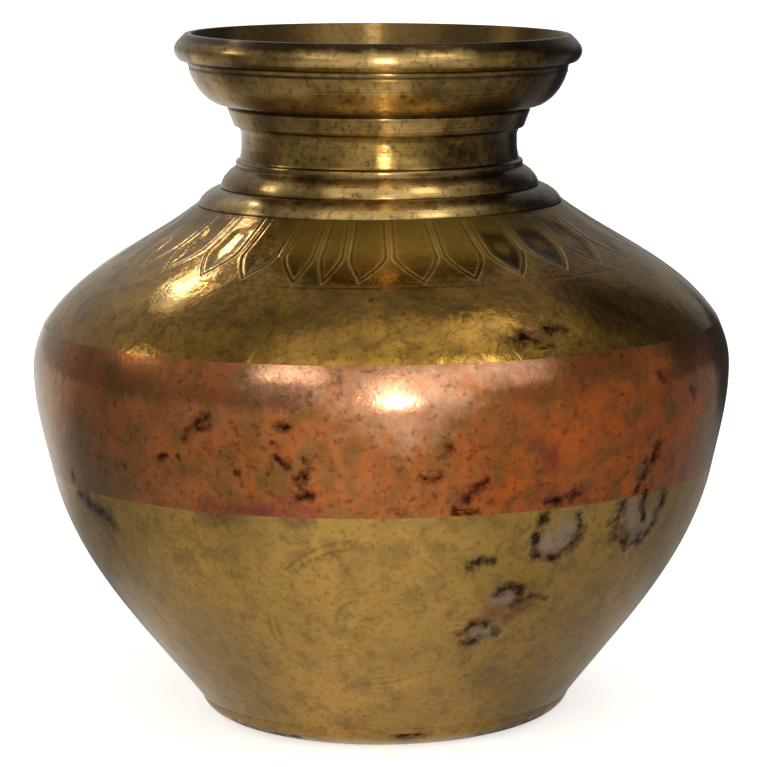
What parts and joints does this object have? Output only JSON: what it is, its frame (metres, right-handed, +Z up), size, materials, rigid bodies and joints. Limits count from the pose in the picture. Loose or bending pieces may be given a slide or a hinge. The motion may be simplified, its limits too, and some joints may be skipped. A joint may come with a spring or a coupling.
{
  "type": "brass pot",
  "caption": "Round-bellied two-metal water pot with a copper middle band, a collared neck and a cupped mouth with a rolled lip.",
  "frame": {"origin": "centre of the flat base, on the surface that the pot stands on", "axes": "+Z up along the axis of the pot, through the mouth; -Y towards the side that the picture shows"},
  "size_m": [0.2188, 0.2188, 0.2148],
  "materials": {
    "sheet_brass": "aged, hand-beaten and wiped, soft sheen",
    "cast_brass": "turned and polished, worn",
    "sheet_copper": "aged copper, beaten and wiped, soft sheen",
    "braze": "as-run braze, dull"
  },
  "bodies": {
    "root": {"foot_cap": "sheet_brass", "lower_bowl": "sheet_brass", "copper_band": "sheet_copper", "shoulder_dome": "sheet_brass", "collar_ring": "cast_brass", "neck_casting": "cast_brass", "foot_braze": "braze", "lower_seam_braze": "braze", "upper_seam_braze": "braze", "band_closing_braze": "braze", "neck_joint_braze": "braze"}
  },
  "joints": []
}
